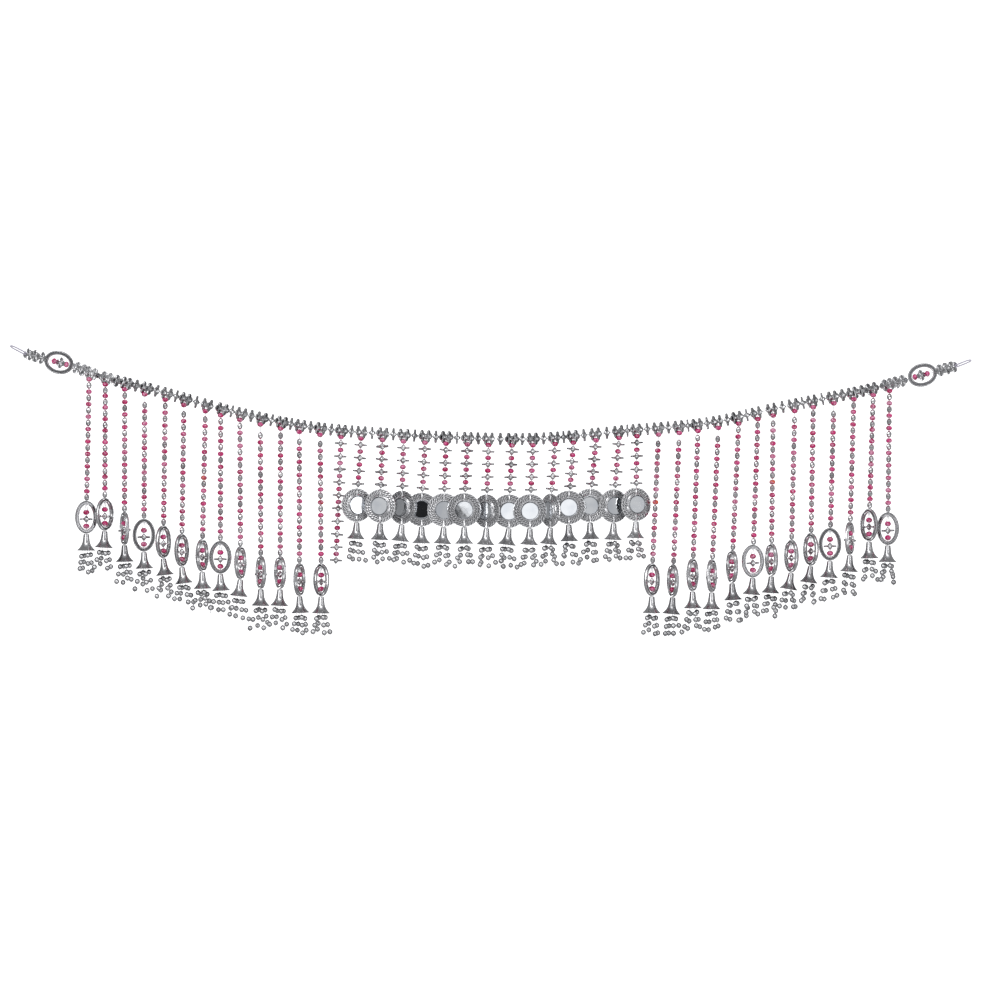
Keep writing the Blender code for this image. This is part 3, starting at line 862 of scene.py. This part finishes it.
class Lines:
    """Runs of thread."""

    def __init__(self):
        self.points = []
        self.edges = []

    def add(self, run, closed=False):
        first = len(self.points)
        self.points += run
        self.edges += [(k, k + 1) for k in range(first, len(self.points) - 1)]
        if closed:
            self.edges.append((len(self.points) - 1, first))

    def spun(self, name, radius, finish, sides=6):
        mesh = bpy.data.meshes.new(name)
        mesh.from_pydata(self.points, self.edges, [])
        piece = object_of(name, mesh)
        grown(piece, TREES["thread"], {"Thread radius": radius, "Sides": sides, "Finish": finish})
        piece.data.shade_smooth()
        return in_metres(piece)


def in_metres(piece):
    piece.data.transform(Matrix.Scale(MM, 4))
    return piece


def garland_height(x):
    """Height of the garland's centre line at x: a smooth curve through its points."""
    last = len(GARLAND_LINE) - 1
    index = 0
    while index < last - 1 and x > GARLAND_LINE[index + 1][0]:
        index += 1
    slopes = []
    for near in (index, index + 1):
        before = GARLAND_LINE[max(near - 1, 0)]
        after = GARLAND_LINE[min(near + 1, last)]
        slopes.append((after[1] - before[1]) / (after[0] - before[0]))
    (x0, z0), (x1, z1) = GARLAND_LINE[index], GARLAND_LINE[index + 1]
    span = x1 - x0
    t = (x - x0) / span
    return (
        (2 * t**3 - 3 * t**2 + 1) * z0
        + (t**3 - 2 * t**2 + t) * span * slopes[0]
        + (3 * t**2 - 2 * t**3) * z1
        + (t**3 - t**2) * span * slopes[1]
    )


def garland_frame(x):
    """The garland at x: its point, its direction, and the direction down from it."""
    step = 2.0
    rise = garland_height(x + step) - garland_height(x - step)
    along = Vector((2 * step, 0, rise)).normalized()
    down = Vector((along.z, 0, -along.x))
    return Vector((x, 0, garland_height(x))), along, down


def carrier_x(string_x):
    """Where the garland carries a string, so that its top bead hangs at string_x."""
    return string_x - TOP_PINK_BELOW * garland_frame(string_x)[2].x


def wing_tops():
    """(side, number, row, x) of every wing string, from left to right."""
    left = [(-1, k + 1, row, -row.from_axis) for k, row in enumerate(WING_STRINGS)]
    right = [(1, k + 1, row, row.from_axis) for k, row in enumerate(WING_STRINGS)]
    return left + right[::-1]


def garland_beads():
    """(x, side in its pair or 0) of each flower bead on the garland, from left to right."""
    tops = [top[3] for top in wing_tops()]
    tops += [row.x for row in MIDDLE_STRINGS] + [PLAIN_STRING.x]
    carriers = sorted(carrier_x(x) for x in tops)
    beads = [(carriers[0] - out, 0) for out in END_BEADS_OUTSIDE]
    beads += [(carriers[-1] + out, 0) for out in END_BEADS_OUTSIDE]
    for index, x in enumerate(carriers):
        step = PAIR_HALF_SPACING * garland_frame(x)[1].x
        beads += [(x - step, -1), (x + step, 1)]
        if index + 1 < len(carriers) and carriers[index + 1] - x > SINGLE_IF_STRINGS_APART:
            beads.append(((x + carriers[index + 1]) / 2, 0))
    return sorted(beads)


PINKS = Places()
SILVERS = Places()
FLOWERS = Places()
GARLAND_FLOWERS = Places()
BALLS_HUNG = Places()
BELLS = Places()
OVALS = Places()
END_OVALS = Places()
MEDALLIONS = Places()
MIRRORS = Places()
THREADS = Lines()
TASSEL_THREADS = Lines()
LOOPS = Lines()


def pink_tint(number, index, orange=False):
    """Most beads are hot pink, one in four is paler, and a few are orange-red."""
    if orange:
        return 1.0
    return 0.42 + 0.46 * uneven(number, index, 11)


def string_garland():
    """The garland's flower beads, yawed more towards its two ends, and the main line."""
    for index, (x, pair) in enumerate(garland_beads()):
        point, along, down = garland_frame(x)
        out = min(1.0, max(0.0, (abs(x) - 330) / 75))
        yaw = PAIR_YAW_DEG if pair else SINGLE_YAW_DEG
        yaw = yaw + (END_YAW_DEG - yaw) * out + 9 * uneven(index, 3)
        axis = rotated(along, yaw, down)
        axis = rotated(axis, PAIR_SPLAY_DEG * pair + 3 * uneven(index, 5), BACK)
        GARLAND_FLOWERS.add(point, axis, down, 8 * uneven(index, 7), 1.0, 0.5 + 0.5 * uneven(index, 9))
    start = GARLAND_LINE[0][0]
    steps = 60
    span = GARLAND_LINE[-1][0] - start
    THREADS.add([garland_frame(start + span * step / steps)[0] for step in range(steps + 1)])


def hang_bell(top, lean, number):
    """A bell below a point, and its tassel of four strands with three balls each."""
    axis = Vector((lean, 0, -BELL_HEIGHT))

    def centre(below):
        return top + axis * below / BELL_HEIGHT

    BELLS.add(top, -axis, ACROSS, 15 * number, 1.0, 0.5 + 0.5 * uneven(number, 13))
    whole_turn = TASSEL_TURN + 6 * uneven(number, TASSEL_SEED)
    for strand in range(STRANDS):
        out = rotated(ACROSS, 360 * (strand + 0.5) / STRANDS + whole_turn, UP)
        first_below = FIRST_BALL_BELOW + 1.3 * uneven(number, strand, TASSEL_SEED + 1)
        pitch = BALL_PITCH + 1.6 * uneven(number, strand, TASSEL_SEED + 2)
        splay = TASSEL_SPLAY * (0.15 + 0.85 * abs(uneven(number, strand, TASSEL_SEED + 3)))
        run = [centre(BELL_HEIGHT * 0.3), centre(BELL_HEIGHT) + FIRST_BALL_OUT * 0.7 * out]
        for step in range(BALLS):
            away = FIRST_BALL_OUT + splay * step
            point = centre(BELL_HEIGHT) + away * out - (first_below + pitch * step) * UP
            run.append(point)
            tint = 0.5 + 0.5 * uneven(number, strand, step)
            BALLS_HUNG.add(point, point - run[-2], out, 60 * step, 1 + 0.04 * uneven(strand, number), tint)
        run.append(run[-1] + Vector((uneven(number, strand), uneven(strand, number), -TAIL - BALL_RADIUS)))
        TASSEL_THREADS.add(run)


def string_wing(side, number, row, string_x):
    """Ten pink and ten silver beads, an oval with its own beads, a bell and a tassel."""
    point, along, down = garland_frame(carrier_x(string_x))
    top = point + TOP_PINK_BELOW * down
    lean = row.lean_left if side < 0 else row.lean_right
    drop = (WING_PINKS - 1) * row.pitch + row.slack + OVAL_BELOW_LAST_PINK + 2 * OVAL_HALF_HEIGHT
    axis = Vector((-lean / drop, 0, 1))
    code = WING_TASSEL_NUMBERS * side + number

    def centre(below):
        return top - axis * below

    for index in range(WING_PINKS):
        below = index * row.pitch + (row.slack if index else 0)
        silver_below = index * row.pitch + SILVER_BELOW_PINK + row.slack
        orange = index == ORANGE_BEAD and number in ORANGE_STRINGS
        PINKS.add(centre(below), axis, ACROSS, 30 * index, 1.0, pink_tint(code, index, orange))
        SILVERS.add(centre(silver_below), axis, ACROSS, 37 * index, 1.0, 0.5 + 0.5 * uneven(code, index, 17))
    oval_below = (WING_PINKS - 1) * row.pitch + row.slack + OVAL_BELOW_LAST_PINK
    oval_centre = centre(oval_below + OVAL_HALF_HEIGHT)
    side_axis = rotated(ACROSS, -side * row.oval_turn, UP)
    OVALS.add(oval_centre, UP, side_axis, 0, 1.0, 0.5 + 0.5 * uneven(code, 19))
    for index, offset in enumerate(OVAL_PINKS):
        PINKS.add(oval_centre + offset * UP, UP, side_axis, 0, 1.06, pink_tint(code, 30 + index))
    FLOWERS.add(oval_centre + OVAL_FLOWER * UP, UP, side_axis, 0, 1.03, 0.5 + 0.5 * uneven(code, 21))
    THREADS.add([point, top, centre(oval_below + 1.5)])
    oval_top = oval_centre + (OVAL_HALF_HEIGHT - OVAL_BORDER * 0.5) * UP
    first_pink = oval_centre + (OVAL_PINKS[0] + PINK_HALF_HEIGHT * 0.5) * UP
    for way in (-1, 1):
        THREADS.add([oval_top, first_pink + 1.7 * way * side_axis])
    THREADS.add([oval_centre + OVAL_PINKS[0] * UP, oval_centre - (OVAL_HALF_HEIGHT - 1) * UP])
    bell_lean = lean * BELL_HEIGHT / drop - side * row.bell_lean
    hang_bell(oval_centre - OVAL_HALF_HEIGHT * UP, bell_lean, code)


def string_chain(row, pinks, below_last_flower, code):
    """Pink and flower beads by turns. Returns the function that gives a point down the string."""
    point, along, down = garland_frame(carrier_x(row.x))
    top = point + TOP_PINK_BELOW * down
    length = (pinks - 1) * row.pitch + FLOWER_BELOW_PINK + below_last_flower
    forward_length = (MIDDLE_PINKS - 0.5) * row.pitch

    def centre(below):
        forward = row.forward * min(1.0, max(0.0, below / forward_length))
        return top + Vector((row.lean * below / length, -forward, -below))

    run = [point]
    for index in range(pinks):
        pink = centre(index * row.pitch)
        flower = centre(index * row.pitch + FLOWER_BELOW_PINK)
        axis = pink - flower
        PINKS.add(pink, axis, ACROSS, 0, 1.0, pink_tint(code, index))
        turn = 14 * uneven(code, index, 23)
        FLOWERS.add(flower, axis, ACROSS, turn, 1.0, 0.5 + 0.5 * uneven(code, index, 25))
        run += [pink, flower]
    run.append(centre(length - below_last_flower + FLANGE_HALF + 3))
    THREADS.add(run)
    return centre


def string_middle(number, row):
    """Four pink and four flower beads, a medallion with its mirror, a bell and a tassel."""
    code = MIDDLE_TASSEL_NUMBERS + number
    disc_below_flower = MEDALLION_BELOW_FLOWER + MEDALLION_RADIUS
    centre = string_chain(row, MIDDLE_PINKS, disc_below_flower, code)
    disc = centre((MIDDLE_PINKS - 1) * row.pitch + FLOWER_BELOW_PINK + disc_below_flower)
    side_axis = rotated(ACROSS, row.turn, UP)
    forward = side_axis.cross(UP)
    MEDALLIONS.add(disc, UP, side_axis, 0, 1.0, 0.7 + 0.3 * uneven(code, 27))
    looks_up = rotated(UP, row.mirror_nod, side_axis)
    looks_right = rotated(side_axis, row.mirror_tilt, UP)
    MIRRORS.add(disc + MIRROR_SEAT * forward, looks_up, looks_right, 0, 1.0, 0.5)
    hang_bell(disc - MEDALLION_RADIUS * UP, row.bell_lean, code)


def fit_end(end):
    """An end frame with its beads, the flower beads outside it, and the hanging loop."""
    slope = math.radians(end.slope_deg)
    outwards = Vector((end.side * math.cos(slope), 0, math.sin(slope)))
    centre = Vector((end.centre_x, 0, end.centre_z))
    aside = BACK.cross(outwards)
    END_OVALS.add(centre, outwards, aside, 0, 1.0, 0.5)
    bead_centre = centre - END_BEADS_INWARDS * outwards
    for way in (-1, 1):
        PINKS.add(bead_centre + way * END_PINK_OUT * outwards, outwards, aside, 0, 1.0, 0.5)
    FLOWERS.add(bead_centre, rotated(outwards, END_YAW_DEG, aside), aside, 0, 0.9, 0.6)
    first = END_OVAL_HALF_LENGTH + END_FLOWER_PITCH / 2
    for index in range(END_FLOWERS):
        point = centre + (first + index * END_FLOWER_PITCH) * outwards
        FLOWERS.add(point, rotated(outwards, END_YAW_DEG, aside), aside, 12 * index, 1.0, 0.4 + 0.2 * index)
    inside = GARLAND_LINE[0] if end.side < 0 else GARLAND_LINE[-1]
    seat = centre + (first + (END_FLOWERS - 0.5) * END_FLOWER_PITCH) * outwards
    THREADS.add([Vector((inside[0], 0, inside[1])), centre, seat])
    tip = Vector((end.tip_x, 0, end.tip_z))
    way = (tip - seat).normalized()
    start = seat - 3 * way
    half_length = (tip - start).length / 2 - LOOP_THREAD
    middle = (start + tip) / 2
    lift = BACK.cross(way)
    steps = 32
    half_width = LOOP_WIDTH / 2 - LOOP_THREAD
    run = []
    for step in range(steps):
        angle = math.tau * step / steps
        flat = abs(math.cos(angle)) ** LOOP_FLATNESS * math.copysign(1, math.cos(angle))
        run.append(middle + half_length * flat * way + half_width * math.sin(angle) * lift)
    LOOPS.add(run, closed=True)


def studio(middle):
    """A pale floor and a white surround for the camera, soft lamps, and cards that only reflections see."""
    bpy.context.scene.view_settings.view_transform = "Standard"
    world = bpy.data.worlds.new("studio")
    bpy.context.scene.world = world
    world.use_nodes = True
    world.node_tree.nodes["Background"].inputs["Color"].default_value = (0.96, 0.97, 1.0, 1)
    world.node_tree.nodes["Background"].inputs["Strength"].default_value = ROOM_LIGHT

    pale, shader = shader_for("pale_paper", (0.5, 0.5, 0.5), 0.0, 0.9)
    shader.inputs["Emission Color"].default_value = (1, 1, 1, 1)
    shader.inputs["Emission Strength"].default_value = 0.85
    floor = plane("floor", (0, 0.4, -FLOOR_BELOW), (0, 0, 0), (6, 6), pale)
    for sees in ("diffuse", "glossy", "transmission"):
        setattr(floor, f"visible_{sees}", False)
    white, shader = shader_for("white_surround", (0.95, 0.95, 0.95), 0.0, 0.9)
    shader.inputs["Emission Color"].default_value = (1, 1, 1, 1)
    shader.inputs["Emission Strength"].default_value = 1.0
    shape = bmesh.new()
    bmesh.ops.create_icosphere(shape, subdivisions=4, radius=SURROUND_RADIUS)
    surround = stage_piece("surround", shape, white)
    for sees in ("diffuse", "glossy", "transmission", "shadow"):
        setattr(surround, f"visible_{sees}", False)

    black, shader = shader_for("black_card", (0.015, 0.015, 0.017), 0.0, 0.8)
    white_card = glowing_card("white_card", 0.92)
    grey_card = glowing_card("grey_card", 0.52)
    shade = glowing_card("shade_card", 0.20)
    cards = (
        ("card_left", (-1.3, 0.1, -0.15), (90, 0, 90), (1.9, 1.6), shade),
        ("card_right", (1.3, 0.1, -0.15), (90, 0, 90), (1.9, 1.6), shade),
        ("card_behind", (0, 0.7, -0.15), (90, 0, 0), (7.0, 6.0), shade),
        ("card_below", (0, 0.1, -0.85), (0, 0, 0), (3.0, 1.6), shade),
        ("card_above", (0, 0.1, 0.85), (0, 0, 0), (3.0, 1.0), shade),
        ("card_front_left", (-0.45, -3.2, -0.15), (90, 0, 0), (0.42, 1.4), black),
        ("card_front_right", (0.47, -3.2, -0.15), (90, 0, 0), (0.46, 1.4), white_card),
        ("card_corner", (0.345, -3.18, -0.243), (90, 45, 0), (0.2, 0.2), black),
        ("card_left_low", (-1.05, -3.1, -0.35), (90, 0, -18), (0.6, 0.9), grey_card),
        ("card_far_left", (-2.3, -2.2, -0.2), (90, 0, -46), (0.7, 1.6), grey_card),
        ("card_far_right", (2.65, -1.95, -0.2), (90, 0, 52), (0.28, 1.6), grey_card),
    )
    for name, place, turn, size, material in cards:
        card = plane(name, place, turn, size, material)
        for sees in ("camera", "diffuse", "shadow"):
            setattr(card, f"visible_{sees}", False)

    lamps = (
        ("key", (-1.5, -2.3, 0.7), 15, (1.0, 1.8)),
        ("strip", (1.35, -2.6, -0.1), 7, (0.35, 2.0)),
        ("fill", (2.6, -1.3, 0.2), 14, (0.9, 2.0)),
        ("low", (0.3, -2.2, -1.0), 4, (2.0, 0.5)),
        ("top", (0, -1.6, 1.3), 6, (2.0, 0.6)),
    )
    for name, place, power, size in lamps:
        data = bpy.data.lights.new(name, "AREA")
        data.shape = "RECTANGLE"
        data.size, data.size_y = size
        data.energy = power
        lamp = bpy.data.objects.new(name, data)
        bpy.context.scene.collection.objects.link(lamp)
        lamp.location = place
        lamp.rotation_euler = (middle - Vector(place)).to_track_quat("-Z", "Y").to_euler()


def glowing_card(name, strength):
    material, shader = shader_for(name, (0.1, 0.1, 0.1), 0.0, 0.9)
    shader.inputs["Emission Color"].default_value = (0.97, 0.98, 1.0, 1)
    shader.inputs["Emission Strength"].default_value = strength
    return material


def stage_piece(name, shape, material):
    mesh = bpy.data.meshes.new(name)
    shape.to_mesh(mesh)
    shape.free()
    mesh.materials.append(material)
    stage = object_of(name, mesh)
    return stage


def plane(name, place, turn_deg, size, material):
    """A flat stage piece."""
    shape = bmesh.new()
    bmesh.ops.create_grid(shape, x_segments=1, y_segments=1, size=0.5)
    turn = Euler([math.radians(angle) for angle in turn_deg]).to_matrix().to_4x4()
    bmesh.ops.transform(shape, matrix=Matrix.Diagonal((*size, 1, 1)), verts=shape.verts)
    bmesh.ops.transform(shape, matrix=Matrix.Translation(place) @ turn, verts=shape.verts)
    return stage_piece(name, shape, material)


def front_camera():
    """The photograph's frontal view, from far enough away to be nearly without perspective."""
    data = bpy.data.cameras.new("front")
    data.sensor_width = SENSOR
    data.lens = SENSOR * VIEW_DISTANCE / VIEW_WIDTH
    camera = bpy.data.objects.new("front", data)
    bpy.context.scene.collection.objects.link(camera)
    camera.location = (VIEW_CENTRE[0], -VIEW_DISTANCE, VIEW_CENTRE[1])
    camera.rotation_euler = (math.radians(90), 0, 0)
    bpy.context.scene.camera = camera


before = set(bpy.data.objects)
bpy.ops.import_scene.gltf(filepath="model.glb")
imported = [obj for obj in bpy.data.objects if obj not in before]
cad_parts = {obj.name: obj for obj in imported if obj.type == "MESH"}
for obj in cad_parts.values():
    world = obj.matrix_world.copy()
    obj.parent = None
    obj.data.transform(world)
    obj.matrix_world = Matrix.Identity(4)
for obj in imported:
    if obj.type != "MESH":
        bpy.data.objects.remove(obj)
cad_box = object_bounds()
NODES = sorted(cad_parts)
TREES = {"threading": threading_tree(), "thread": thread_tree()}

front_camera()
studio((cad_box[0] + cad_box[1]) / 2)

string_garland()
for wing_side, wing_number, wing_row, wing_x in wing_tops():
    string_wing(wing_side, wing_number, wing_row, wing_x)
for middle_number, middle_row in enumerate(MIDDLE_STRINGS, 1):
    string_middle(middle_number, middle_row)
string_chain(PLAIN_STRING, PLAIN_PINKS, FLANGE_HALF, MIDDLE_TASSEL_NUMBERS)
for garland_end in GARLAND_ENDS:
    fit_end(garland_end)

plated = silver_plating("silver_plating", (0.80, 0.80, 0.81), (0.50, 0.50, 0.51), 0.30)
plated_bell = silver_plating("silver_plating_bell", (0.72, 0.72, 0.73), (0.45, 0.45, 0.46), 0.26)
plated_rim = silver_plating("silver_plating_rim", (0.90, 0.90, 0.91), (0.72, 0.72, 0.73), 0.32)
nylon = clear_nylon("clear_nylon", (0.55, 0.55, 0.60), 0.8)
loop_nylon = clear_nylon("clear_nylon_loop", (0.60, 0.57, 0.68), 0.9)


def named(*starts):
    return [node for node in NODES if node.startswith(starts)]


STRINGS = named("wing_string", "mirror_string", "plain_string")
BELLED = named("wing_string", "mirror_string")


def kept(piece, stood_for):
    """Hands a finished piece to the frame's root body, and hides the nodes that it stands for."""
    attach(piece, "root")
    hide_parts(*stood_for)


kept(PINKS.threaded("pink_beads", pink_bead(), pink_acrylic(), (5, 5, 40), 3), STRINGS + named("end_frame"))
silver_beads = SILVERS.threaded("silver_beads", silver_bead(), plated, (5, 5, 60), 5)
kept(silver_beads, named("wing_string"))
flower_beads = FLOWERS.threaded("flower_beads", flower_bead(), plated, (5, 5, 0), 7)
kept(flower_beads, STRINGS + named("end_frame"))
kept(GARLAND_FLOWERS.threaded("garland_beads", flower_bead(), plated, (2, 2, 0), 9), ["garland"])
kept(BALLS_HUNG.threaded("tassel_balls", ball(), plated, (0, 0, 0), 11), BELLED)
kept(BELLS.threaded("bells", bell(), plated_bell), BELLED)
oval_shape = oval_frame("oval_shape", OVAL_HALF_WIDTH, OVAL_HALF_HEIGHT)
kept(OVALS.threaded("oval_frames", oval_shape, plated_rim), named("wing_string"))
end_oval_shape = oval_frame("end_oval_shape", END_OVAL_HALF_HEIGHT, END_OVAL_HALF_LENGTH)
kept(END_OVALS.threaded("end_frames", end_oval_shape, plated_rim), named("end_frame"))
medallions = MEDALLIONS.threaded("medallions", medallion(plated_rim), plated_rim)
kept(medallions, named("mirror_string"))
mirrors = MIRRORS.threaded("mirrors", mirror_disc(), silvered_glass())
kept(mirrors, named("mirror_0", "mirror_1"))
kept(THREADS.spun("string_threads", STRING_THREAD, nylon), STRINGS + ["garland"])
kept(TASSEL_THREADS.spun("tassel_threads", TASSEL_THREAD, nylon, 5), BELLED)
kept(LOOPS.spun("hanging_loops", LOOP_THREAD, loop_nylon, 8), named("hanging_loop"))
